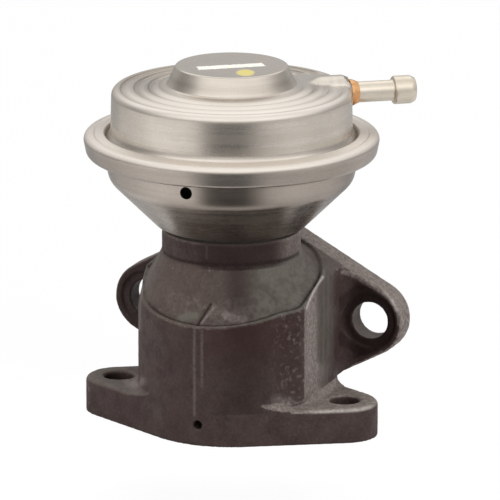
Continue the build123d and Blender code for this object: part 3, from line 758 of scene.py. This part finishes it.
# The bead's outline is (radius round the nipple, distance along it), and its swell is uneven
braze = {
    "outline": [(2.52, 28.85), (3.15, 28.85), (3.18, 29.5), (2.85, 30.3), (2.58, 30.95), (2.52, 30.95), (2.52, 28.85)],
    "radii": [0.25, 0.8, 0.9, 0.05, 0.02], "segments": 96, "swell": 0.16, "ripple": 0.05, "clearOf": 2.56,
}
line = bentLine(braze["outline"], braze["radii"], 0.2)
verts, faces = turnedMesh(line[:-1], braze["segments"])
coords = np.array(verts)
for i, v in enumerate(coords):
    ring = Vector((v[0], v[1], 0))
    swell = noise.noise(Vector(v) * 700) * braze["swell"] + noise.noise(Vector(v) * 1800) * braze["ripple"]
    if ring.length > braze["clearOf"] * mm:
        coords[i][:2] *= 1 + 0.6 * swell * (ring.length / mm - 2.5)
        coords[i][2] += swell * 0.25 * mm
brazeBead = meshPiece("brazeBead", coords, faces, brazeCopper)
brazeBead.data.transform(Matrix.Translation((0, 0, n["z"] * mm)) @ sideways)
outward(brazeBead)
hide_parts("braze_ring")
print("nipple turned and brazed")

soft = {
    "diaphragm": [(32.95, 67.6), (28.3, 67.6), (24.8, 61.2), (2.56, 61.2)], "folds": [2.2, 2.2], "rubber": 1.4,
    "clampZ": 68.3, "hubZ": 61.9, "lift": 5.0,
    "springBottom": 63.9, "springTop": 86.7, "coilRadius": 10.2, "wire": 0.85, "turns": 4.5, "closedTurns": 0.9,
}
skin, lining = sheetLine(soft["diaphragm"], soft["folds"], -soft["rubber"], 0.6, 1.0)
verts, faces = turnedMesh(np.concatenate([skin, lining[::-1]]), 240)
rubberSheet = meshPiece("rubberSheet", verts, faces, blackRubber)
outward(rubberSheet)
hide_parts("diaphragm")
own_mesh(rubberSheet)

# The spring has closed turns at both ends and open coils between them
length = soft["springTop"] - soft["springBottom"]
wire = soft["wire"]
rise = length - 2 * wire - 0.1
allTurns = soft["turns"] + 2 * soft["closedTurns"]
verts, faces = [], []
ringCount, ringSteps = 14, int(allTurns * 48)
for i in range(ringSteps + 1):
    turn = allTurns * i / ringSteps
    share = smoothStep(np.array(turn), soft["closedTurns"] * 0.6, allTurns - soft["closedTurns"] * 0.6)
    opened = np.clip((turn - soft["closedTurns"]) / soft["turns"], 0, 1)
    z0 = soft["springBottom"] + wire + 0.05 + rise * float(0.35 * share + 0.65 * opened)
    a = 2 * pi * turn
    out = np.array([cos(a), sin(a), 0])
    for k in range(ringCount):
        b = 2 * pi * k / ringCount
        verts.append((out * (soft["coilRadius"] + wire * cos(b)) + np.array([0, 0, z0 + wire * sin(b)])) * mm)
    if i:
        low, high = (i - 1) * ringCount, i * ringCount
        for k in range(ringCount):
            j = (k + 1) % ringCount
            faces.append((low + k, low + j, high + j, high + k))
faces.append(tuple(range(ringCount)))
faces.append(tuple(reversed(range(ringSteps * ringCount, (ringSteps + 1) * ringCount))))
coiledWire = meshPiece("coiledWire", verts, faces, springSteel, smoothAngle=50)
outward(coiledWire)
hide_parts("return_spring")
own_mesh(coiledWire)
print("diaphragm and spring made")

casting = {
    "voxel": 0.00030, "grainDepth": 0.045, "pittedDepth": 0.12, "seamHeight": 0.20, "seamWidth": 0.30,
    "seams": ((-0.7, 1.0, (-2, -1)), (1.2, 0.75, (12, 17))),  # each seam's x, its share and where it starts in height
    "creaseRadius": 21.2, "creaseDepth": 0.30, "creaseWidth": 0.34, "shoulderHeight": 36.2, "shoulderSlope": 0.31,
    "columnRadius": 22.3, "cornerStart": 22.0, "cornerEnd": 40.0, "collarRadius": 16.6, "collarFoot": 43.1,
    "footDepth": 0.15, "footWidth": 0.45, "lipWear": 0.9, "flangeHeight": 23.4, "lobeAt": 28.3, "lobeRadius": 8.8,
    "flangeHoleAt": 28.8, "baseHoleAt": 29.0, "roughGrain": 0.09,
}
# Paint and roughness of the cast surface, by place in mm, bearing in degrees and the patterns of the grain
castPatches = {
    "rough": [
        ("corner", 1.0, {}),
        ("streaks", 0.35, {}),
        ("flangeEdge", 0.8, {"rise x": (-6, 6)}),
        ("flangeEdge", 0.4, {}),
        ("baseTop", 0.8, {"rise x": (8, 15), "within fromBaseHole": (4.6, 99)}),
        ("baseTop", 0.2, {}),
    ],
    # painted shade: in the shoulder's crease, the flange's recess and round its hole, the collar's foot, the collar
    # under the bowl, and a darker band down the column's front
    "paintedShade": [
        ("crease", 0.9, {}),
        ("wall", 0.55, {"peak bearing": (8, 18)}),
        ("flangeFace", 0.8, {"rise x": (23.5, 26), "fall outline": (-1.9, -1.3)}),
        ("flangeFace", 0.45, {"within x": (-99, 0)}),
        ("ear", 0.75, {
            "fall fromFlangeHole": (8.4, 9.4), "within outline": (-99, -1.0), "within facingBack": (-2, -0.2),
            "within y": (13.5, 23.7),
        }),
        ("collar", 0.6, {"rise bearing": (-32, -18), "fall bearing": (30, 60)}),
        ("collar", 0.1, {}),
        ("foot", 0.9, {}),
    ],
    "pale": [
        ("corner", 0.85, {}),
        ("streaks", 0.42, {"rise pits": (0.02, 0.3), "rise specks": (-0.1, 0.25)}),
        ("flangeEdge", 0.675, {"rise x": (0, 14)}),
        ("flangeEdge", 0.45, {"rise x": (0, 14), "rise pits": (-0.1, 0.2)}),
        ("flangeEdge", 0.2, {}),
        # painted highlight along the rounded top edge of the flange's front face
        ("flangeFace", 0.8, {"rise outline": (-1.5, -0.9), "within z": (23, 99), "within x": (0, 99)}),
        ("baseTop", 1.0, {"rise x": (8, 15), "within fromBaseHole": (3.7, 99)}),
        ("baseTop", 0.18, {"within fromBaseHole": (3.7, 99)}),
        ("seam", 0.45, {}),
        ("shoulder", 0.22, {
            "pattern cloudy": (), "rise bearing": (-60, -40), "fall y": (0, 11), "within aboveLip": (-99, 5),
        }),
        ("shoulder", 0.16, {"fall bearing": (-10, 4), "fall y": (0, 11)}),
        ("ear", 0.5, {"within fromFlangeHole": (-1, 4.85), "within y": (13.5, 23.6)}),
        ("collar", 0.6, {"rise bearing": (35, 55)}),
        ("collar", 0.5, {"peak bearing": (-20.5, 0.8), "within z": (44.4, 47.6)}),
        ("collar", 0.35, {"rise z": (47.6, 48.0)}),
    ],
    # painted sheen on the flat side and on the shoulder's right, with a greenish tint where the marks add it
    "sheenAndGreenTint": [
        ("flatSide", 0.3, {"rise y": (-5, 3), "rise waveringZ": (9, 19), "fall y": (7, 13)}),
        ("flatSide", 0.35, {"pattern streaky": (), "rise y": (-5, 3), "rise waveringZ": (9, 19), "fall y": (7, 13)}),
        ("shoulder", 0.22, {"fall y": (0, 11)}),
        ("shoulder", 0.35, {"rise bearing": (8, 26), "fall y": (0, 11)}),
        ("shoulder", 0.35, {"pattern cloudy": (), "rise bearing": (8, 26), "fall y": (0, 11)}),
    ],
    "red": [
        ("wall", 0.6, {"rise z": (14, 30), "peak bearing": (6, 26)}),
        ("shoulder", 0.5, {"rise bearing": (-90, -60), "fall bearing": (-30, 0)}),
    ],
    # painted highlight along the base flange's top front edge
    "edgeHighlight": [
        ("baseRim", 0.5, {"rise x": (22, 28), "rise z": (7.4, 7.9), "fall y": (-3, 0), "fall z": (8.2, 8.5)}),
    ],
}
# Marks left by the mould and by wear, with painted shade, painted sheen and painted highlights along some of them, as
# lines from one (right, up) to another in mm, as the camera sees them
marks = [
    {"on": "shoulder", "line": ((-4.8, 28.4), (-7.9, 23.6)), "width": 0.40, "height": -0.28, "paintedShade": 1.0},
    {"on": "shoulder", "line": ((-4.1, 27.5), (-6.9, 23.9)), "width": 0.35, "height": 0.10, "pale": 0.8},
    {"on": "shoulder", "line": ((-11.8, 24.9), (-8.6, 25.7)), "width": 1.3, "sheenAndGreenTint": 1.0},
    {"on": "shoulder", "line": ((8.5, 35.6), (11.5, 37.2)), "width": 2.4, "sheenAndGreenTint": 0.9, "pale": 0.15},
    {"on": "shoulder", "line": ((-1.2, 25.6), (2.8, 24.6)), "width": 1.5, "pale": 0.7},
    {"on": "shoulder", "line": ((-5.2, 37.3), (-5.2, 36.4)), "width": 0.35, "pale": 0.8},
    {"on": "shoulder", "line": ((1.0, 37.0), (1.6, 29.0)), "width": 3.6, "paintedShade": 0.45},
    {"on": "column", "line": ((16.8, 27.7), (21.8, 34.8)), "width": 0.40, "edgeHighlight": 0.9},
    {"on": "column", "line": ((-21.9, 33.8), (-21.9, 22.1)), "width": 0.40, "edgeHighlight": 0.15},
    {"on": "column", "line": ((18.8, 27.0), (18.8, 13.0)), "width": 1.5, "pale": 0.9},
    {"on": "column", "line": ((20.3, 12.5), (20.3, 5.5)), "width": 2.6, "pale": 0.8},
    {"on": "column", "line": ((11.0, 5.4), (14.0, 4.8)), "width": 1.8, "pale": 0.6},
    {"on": "column", "line": ((-24.8, 9.0), (-21.5, 9.7)), "width": 1.5, "pale": 0.7},
    {"on": "flange", "line": ((37.0, 31.0), (38.6, 29.0)), "width": 0.5, "edgeHighlight": 0.5},
    {"on": "flange", "line": ((38.6, 29.0), (39.7, 26.9)), "width": 0.55, "edgeHighlight": 0.7},
]


def voxelCopy(node, name, voxel):
    obj = putInScene(bpy.data.objects.new(name, nodes[node].data.copy()))
    bm = bmesh.new()
    bm.from_mesh(obj.data)
    bmesh.ops.remove_doubles(bm, verts=bm.verts, dist=1e-6)
    bm.to_mesh(obj.data)
    bm.free()
    rebuilt = obj.modifiers.new("rebuild", "REMESH")
    rebuilt.mode = "VOXEL"
    rebuilt.voxel_size = voxel
    applyModifiers(obj)
    return obj


def edgeArray(mesh):
    pairs = np.empty(len(mesh.edges) * 2, dtype=np.int64)
    mesh.edges.foreach_get("vertices", pairs)
    return pairs.reshape(-1, 2)


def relax(co, pairs, weight, rounds):
    degree = np.bincount(pairs.ravel(), minlength=len(co)).astype(float)[:, None]
    for step in range(rounds):
        total = np.zeros_like(co)
        for axis in range(3):
            total[:, axis] += np.bincount(pairs[:, 0], weights=co[pairs[:, 1], axis], minlength=len(co))
            total[:, axis] += np.bincount(pairs[:, 1], weights=co[pairs[:, 0], axis], minlength=len(co))
        co += (total / np.maximum(degree, 1) - co) * weight[:, None]
    return co


def capsule(px, py, start, end, width):
    # 1 on the line from start to end, falling to about a seventh at the width
    a = np.array(start, float)
    ab = np.array(end, float) - a
    t = np.clip(((px - a[0]) * ab[0] + (py - a[1]) * ab[1]) / (ab @ ab), 0, 1)
    d = np.hypot(px - a[0] - t * ab[0], py - a[1] - t * ab[1])
    return np.exp(-((d / width) ** 2) * 2)


casted = voxelCopy("valve_body", "castBody", casting["voxel"])
co, no = meshArrays(casted.data)
pairs = edgeArray(casted.data)
x, y, z = (co / mm).T
radius = np.hypot(x, y)
underside = (no[:, 2] < -0.7) & (z < 0.3)
rearFace = (no[:, 1] > 0.7) & (y > 23.5)
collarTop = (no[:, 2] > 0.7) & (z > 48.1)
bores = radius < 15.5
sawn = underside | rearFace | collarTop
skinMask = np.where(sawn | (bores & (z < 34)), 0.0, 1.0)
co = relax(co, pairs, 0.5 * skinMask, 3)

# The column is squared off on the right, where its flat side starts, and its lip is worn away on the left
side = np.degrees(np.arctan2(-y, x))
square = casting["columnRadius"] * (1 / np.cos(np.radians(np.clip(side, 0, 28))) - 1)
square *= (side > 0) * (1 - smoothStep(side, casting["cornerStart"], casting["cornerEnd"]))
square *= smoothStep(radius, 17.5, 21.0) * smoothStep(z, 8.6, 11.0) * (radius < 23) * (y < 0)
bearing = bearingOf(x, y)
worn = bell(bearing, -92, 16) * smoothStep(z, 29, 34) * smoothStep(radius, 21.0, 22.2) * (radius < 22.6) * (z < 41)
co[:, :2] *= (1 + (square - casting["lipWear"] * worn) / np.maximum(radius, 1))[:, None]

grain = np.zeros(len(co))
pits = np.zeros(len(co))
specks = np.zeros(len(co))
for i in np.where(skinMask > 0)[0]:
    v = Vector(co[i])
    grain[i] = noise.noise(v * 420) * 0.55 + noise.noise(v * 1100) * 0.45
    pits[i] = noise.noise(v * 900 + Vector((7, 3, 1)))
    specks[i] = noise.noise(Vector((v.x, v.y, v.z * 0.45)) * 2600)

# The flanges' outline is a disc with a lobe at each end, and the distance to it is negative inside
across, above = np.abs(x), np.abs(z - casting["flangeHeight"])
disc, lobe, lobeAt = casting["columnRadius"], casting["lobeRadius"], casting["lobeAt"]
lean = (disc - lobe) / lobeAt
level = sqrt(1 - lean * lean)
along = above * -lean + across * level
outline = np.where(along < 0, np.hypot(across, above) - disc, across * lean + above * level - disc)
outline = np.where(along > level * lobeAt, np.hypot(across - lobeAt, above) - lobe, outline)

up = no[:, 2]
upright = np.abs(up)
aboveLip = z - casting["shoulderHeight"] - casting["shoulderSlope"] * y
measures = {
    "x": x, "y": y, "z": z, "bearing": bearing, "outline": outline, "aboveLip": aboveLip, "facingBack": no[:, 1],
    "pits": pits, "specks": specks, "waveringZ": z + 2 * grain, "cloudy": smoothStep(grain + 0.6 * pits, -0.35, 0.35),
    "streaky": np.clip(0.5 + 0.9 * np.sin(y * 2.1 + 1.5 * grain) * (0.4 + grain), 0, 1),
    "fromBaseHole": np.hypot(across - casting["baseHoleAt"], y),
    "fromFlangeHole": np.hypot(x - casting["flangeHoleAt"], z - casting["flangeHeight"]),
}
shoulder = within(radius, 16.65, 22.6) & (up > 0.12) & (aboveLip > -1.5) & (z < 43.6) & (y < 16)
wall = (upright < 0.5) & within(radius, 21, 22.8) & (y < 2) & (z > 8)
flatSide = within(x, 20.5, 23.2) & (upright < 0.6) & (y < 16)
baseTop = (up > 0.35) & within(z, 6.5, 12.5)
seam = np.zeros(len(co))
for place, share, start in casting["seams"]:
    seam += share * bell(x, place, casting["seamWidth"]) * smoothStep(z, *start)
seam *= (y < -10) * smoothStep(z, 6.6, 8) * (1 - smoothStep(z, 28.2, 29.2)) * (radius > 20)
crease = bell(radius, casting["creaseRadius"], casting["creaseWidth"]) * (1 - smoothStep(y, 4, 8))
crease *= smoothStep(bearing, -78, -55) * within(aboveLip, -1.5, 1.5) * shoulder
foot = bell(z, casting["collarFoot"], casting["footWidth"]) * within(radius, 16, 17.5) * (np.abs(bearing) < 75)
zones = {
    "shoulder": shoulder, "wall": wall, "flatSide": flatSide, "baseTop": baseTop, "seam": seam, "crease": crease,
    "foot": foot, "ear": x > 18, "flangeEdge": within(y, 17.0, 23.7) & (outline > -0.5),
    "flangeFace": (no[:, 1] < -0.3) & within(y, 13.5, 18.4) & (across > 20),
    "baseRim": baseTop | within(z, 6.5, 8.6) & (radius > 22.8),
    "collar": (np.abs(radius - casting["collarRadius"]) < 0.5) & (upright < 0.6) & (z > casting["collarFoot"] - 1),
    "corner": smoothStep(y, -10.5, -8.5) * (1 - smoothStep(y, -2.5, 1.0)) * flatSide * smoothStep(z, 7, 9),
    "streaks": smoothStep(bearing, 20, 36) * (1 - smoothStep(bearing, 50, 58)) * wall,
}
layers = patchwork(castPatches, measures, zones)
rough = np.clip(layers.pop("rough"), 0, 1)
height = grain * (casting["grainDepth"] + casting["roughGrain"] * rough)
height -= np.clip(pits - 0.15, 0, 1) * casting["pittedDepth"] * (0.30 + rough)
height += seam * casting["seamHeight"] * (0.75 + 0.5 * grain)
height -= crease * casting["creaseDepth"] * (1 + 0.5 * grain) + casting["footDepth"] * foot

tilt = radians(cameraUp)
toRight, towards = fromCamera(x, y)
seenUp = z * cos(tilt) - towards * sin(tilt)
facing = smoothStep(fromCamera(no[:, 0], no[:, 1])[1] * cos(tilt) + up * sin(tilt), 0.0, 0.3)
places = {
    "shoulder": shoulder * facing, "column": facing * (radius > 20) * smoothStep(towards, -12, -3),
    "flange": facing * (y > 13),
}
for mark in marks:
    here = capsule(toRight, seenUp, mark["line"][0], mark["line"][1], mark["width"]) * places[mark["on"]]
    height += mark.get("height", 0) * here
    for paint in ("paintedShade", "pale", "sheenAndGreenTint", "edgeHighlight"):
        layers[paint] += mark.get(paint, 0) * here
co += no * (height * skinMask * mm)[:, None]
casted.data.vertices.foreach_set("co", co.ravel())
layers["calm"] = (wall | (upright < 0.3) & (radius < 23) & (z > 9)) & (towards > -10)
for paint, values in layers.items():
    paintVertices(casted.data, paint, values * skinMask)
casted.data.update()
finishPiece(casted, ironSkin, smoothAngle=60)
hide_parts("valve_body")
print("casting made:", len(co))

studio = {
    "floorSize": 6.0, "plainFloor": 0.84, "diffuseLevel": 0.55,
    # floor shade by bearing from the camera side, degrees to the right, so that the metal shows soft bands
    "floorShades": [
        (-180, 0.50), (-143, 0.42), (-118, 0.66), (-60, 0.97), (-34, 0.90), (-24, 0.35), (-14, 0.10), (12, 0.10),
        (20, 0.35), (34, 0.62), (60, 0.72), (90, 0.70), (118, 0.80), (145, 0.55), (180, 0.50),
    ],
    # brightness of the studio that the metal shows, by elevation in degrees, before the object and behind it
    "frontShades": [(-5, 0.47), (12, 0.50), (24, 0.68), (34, 1.00), (44, 0.95), (58, 0.70), (90, 0.70)],
    "backShades": [(-5, 0.38), (10, 0.40), (22, 0.41), (36, 0.85), (50, 1.00), (75, 0.90), (90, 0.75)],
    "frontGain": 1.55, "backGain": 1.45,
    # how far the front counts, by bearing
    "frontShare": [(-180, 0.0), (-110, 0.0), (-60, 1.0), (80, 1.0), (130, 0.3), (180, 0.0)],
    # the sides of the studio are darker
    "sideShades": [
        (-180, 1.0), (-140, 1.0), (-112, 0.62), (-88, 0.62), (-62, 1.0), (70, 1.0), (100, 0.70), (125, 0.70),
        (150, 1.0), (180, 1.0),
    ],
    # the floor's shades start at this radius in metres, and the paper glows so that the camera sees it white
    "shadeStart": 0.035, "shadeEnd": 0.06, "glow": 1.03, "glowShare": 0.93,
}
floorMesh = bpy.data.meshes.new("floor")
half = studio["floorSize"] / 2
floorMesh.from_pydata([(-half, -half, 0), (half, -half, 0), (half, half, 0), (-half, half, 0)], [], [(0, 1, 2, 3)])
floor = putInScene(bpy.data.objects.new("floor", floorMesh))
floor.location.z = -0.00002


def greyRamp(value, stops):
    # stops as (value, grey), and the ramp spans the first to the last of them
    low, high = stops[0][0], stops[-1][0]
    ramp = addNode(value.id_data, "ShaderNodeValToRGB")
    feed(ramp, 0, remap(value, low, high, 0, 1))
    ramp.color_ramp.interpolation = "EASE"
    elements = ramp.color_ramp.elements
    while len(elements) < len(stops):
        elements.new(0.5)
    for element, (place, grey) in zip(elements, stops):
        element.position = (place - low) / (high - low)
        element.color = (grey, grey, grey, 1)
    return ramp.outputs["Color"]


def greyLevel(value, stops):
    level = addNode(value.id_data, "ShaderNodeRGBToBW")
    feed(level, 0, greyRamp(value, stops))
    return level.outputs[0]


def seenDirectly(rays):
    return maths("MAXIMUM", rays.outputs["Is Camera Ray"], rays.outputs["Is Transmission Ray"])


paper, tree, bsdf = newMaterial("floorPaper")
bsdf.inputs["Roughness"].default_value = 0.9
point = objectPoint(tree)
x, y, z = partsOf(point)
outside = remap(lengthOf(x, y), studio["shadeStart"], studio["shadeEnd"], 0, 1)
plain = (studio["plainFloor"],) * 3
shade = mixColour(outside, plain, greyRamp(bearingNodes(x, y), studio["floorShades"]))
fibres = cloud(point, 900, 3, 0.6, 0.3, 0.7)
feed(bsdf, "Base Color", mixColour(times(fibres, 0.03), shade, (0.6, 0.6, 0.6)))
rays = addNode(tree, "ShaderNodeLightPath")
glow = addNode(tree, "ShaderNodeEmission", in_Strength=studio["glow"])
blendIn = addNode(tree, "ShaderNodeMixShader")
feed(blendIn, "Fac", times(seenDirectly(rays), studio["glowShare"]))
feed(blendIn, 1, bsdf.outputs[0])
feed(blendIn, 2, glow.outputs[0])
tree.links.new(blendIn.outputs[0], tree.nodes["Material Output"].inputs["Surface"])
floorMesh.materials.append(paper)

world = bpy.data.worlds.new("studioWorld")
bpy.context.scene.world = world
world.use_nodes = True
tree = world.node_tree
sky = tree.nodes["Background"]
rays = addNode(tree, "ShaderNodeLightPath")
direction = addNode(tree, "ShaderNodeTexCoord")
x, y, z = partsOf(direction.outputs["Generated"])
elevation = times(maths("ARCSINE", z), 180 / pi)
bearing = bearingNodes(x, y)
share = greyLevel(bearing, studio["frontShare"])
before = times(greyLevel(elevation, studio["frontShades"]), studio["frontGain"])
behind = times(greyLevel(elevation, studio["backShades"]), studio["backGain"])
walls = plus(times(before, share), times(behind, minus(1.0, share)))
walls = times(walls, greyLevel(bearing, studio["sideShades"]))
glossy = rays.outputs["Is Glossy Ray"]
matt = times(minus(1.0, glossy), studio["diffuseLevel"])
level = maths("MAXIMUM", plus(times(glossy, walls), matt), seenDirectly(rays))
sky.inputs["Color"].default_value = (1, 1, 1, 1)
feed(sky, "Strength", level)

lamps = {
    "leftSoftbox": {"place": (-0.75, -0.55, 0.62), "size": 0.80, "power": 5.0},
    "rightSoftbox": {"place": (0.85, -0.25, 0.50), "size": 0.70, "power": 4.0},
    "topSoftbox": {"place": (0.05, 0.10, 0.95), "size": 0.90, "power": 3.0},
}
for name, lamp in lamps.items():
    light = bpy.data.lights.new(name, "AREA")
    light.shape = "SQUARE"
    light.size = lamp["size"]
    light.energy = lamp["power"]
    holder = putInScene(bpy.data.objects.new(name, light))
    holder.location = lamp["place"]
    holder.visible_glossy = False
    aim = Vector((0, 0, 0.05)) - Vector(lamp["place"])
    holder.rotation_euler = aim.to_track_quat("-Z", "Y").to_euler()

view = {
    "azimuth": 21.132, "elevation": 14.807, "distance": 1.5794, "target": (0, 0, 0.0473), "lens": 476.05,
    "shift": (0.0372, -0.0381), "roll": 0.104,
}
camera = putInScene(bpy.data.objects.new("camera", bpy.data.cameras.new("camera")))
camera.data.lens = view["lens"]
camera.data.sensor_width = 36
camera.data.shift_x, camera.data.shift_y = view["shift"]
a, e = radians(view["azimuth"]), radians(view["elevation"])
back = Vector((sin(a) * cos(e), -cos(a) * cos(e), sin(e)))
camera.location = Vector(view["target"]) + back * view["distance"]
turn = (-back).to_track_quat("-Z", "Y").to_matrix().to_4x4() @ Matrix.Rotation(radians(view["roll"]), 4, "Z")
camera.rotation_euler = turn.to_euler()
bpy.context.scene.camera = camera
bpy.context.scene.view_settings.view_transform = "Standard"
print("studio set")
